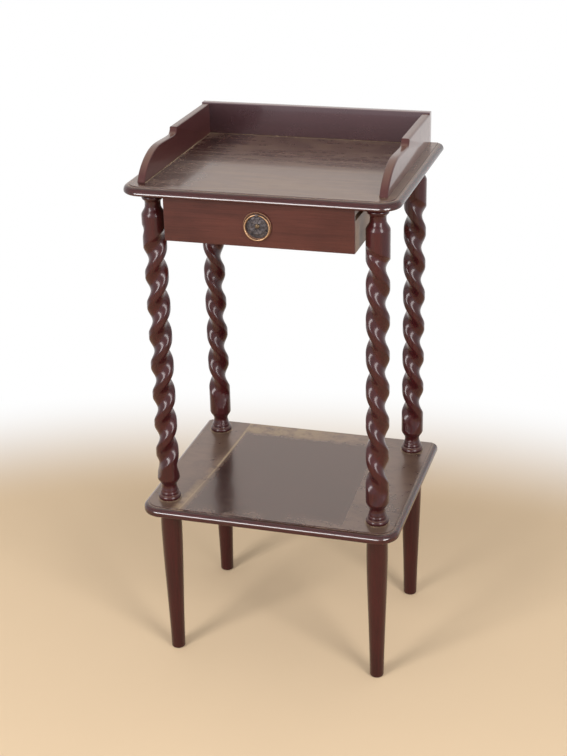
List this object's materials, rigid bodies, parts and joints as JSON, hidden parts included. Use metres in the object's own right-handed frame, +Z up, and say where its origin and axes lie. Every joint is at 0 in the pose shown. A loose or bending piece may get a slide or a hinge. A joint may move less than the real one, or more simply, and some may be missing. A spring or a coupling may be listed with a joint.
{
  "type": "shaving stand",
  "caption": "Small wooden stand on twist-turned posts and tapered legs, with a galleried top, a drawer hung under it on side runners with a ring pull, and a lower shelf.",
  "frame": {"origin": "on the floor, under the middle of the boards, which reach furthest in both directions", "axes": "+Z up, +X to the right seen from the front, +Y to the back; the drawer's face looks along -Y"},
  "size_m": [0.4, 0.325, 0.824],
  "materials": {
    "dark_lacquer": "gloss lacquer, near black",
    "red_lacquer": "gloss red-brown lacquer",
    "drawer_lacquer": "satin red-brown lacquer",
    "side_lacquer": "satin brown lacquer",
    "bare_wood": "planed, unfinished",
    "brass": "aged, softly polished",
    "bronze": "dark patina, brighter rim",
    "steel": "zinc plated"
  },
  "bodies": {
    "root": {"top_board": "dark_lacquer", "gallery_back": "red_lacquer", "gallery_side_left": "red_lacquer", "gallery_side_right": "red_lacquer", "gallery_screws": "steel", "post_front_left": "red_lacquer", "post_front_right": "red_lacquer", "post_back_left": "red_lacquer", "post_back_right": "red_lacquer", "post_dowels": "bare_wood", "shelf_board": "dark_lacquer", "leg_front_left": "red_lacquer", "leg_front_right": "red_lacquer", "leg_back_left": "red_lacquer", "leg_back_right": "red_lacquer", "leg_bolts": "steel", "runner_left": "bare_wood", "runner_right": "bare_wood", "runner_screws": "steel", "drawer_stop": "bare_wood"},
    "drawer": {"drawer_front": "drawer_lacquer", "drawer_side_left": "side_lacquer", "drawer_side_right": "side_lacquer", "drawer_back": "bare_wood", "drawer_bottom": "bare_wood", "pull_backplate": "bronze", "pull_bolt": "brass", "pull_washer": "brass", "pull_nut": "brass"},
    "ring": {"pull_ring": "brass"}
  },
  "joints": [
    {"name": "drawer_slide", "type": "slide", "parent": "root", "child": "drawer", "axis": [0, -1, 0], "range_m": [0, 0.18]},
    {"name": "ring_swing", "type": "hinge", "parent": "drawer", "child": "ring", "pos_m": [0, -0.1502, 0.7444], "axis": [-1, 0, 0], "range_deg": [0, 118]}
  ]
}
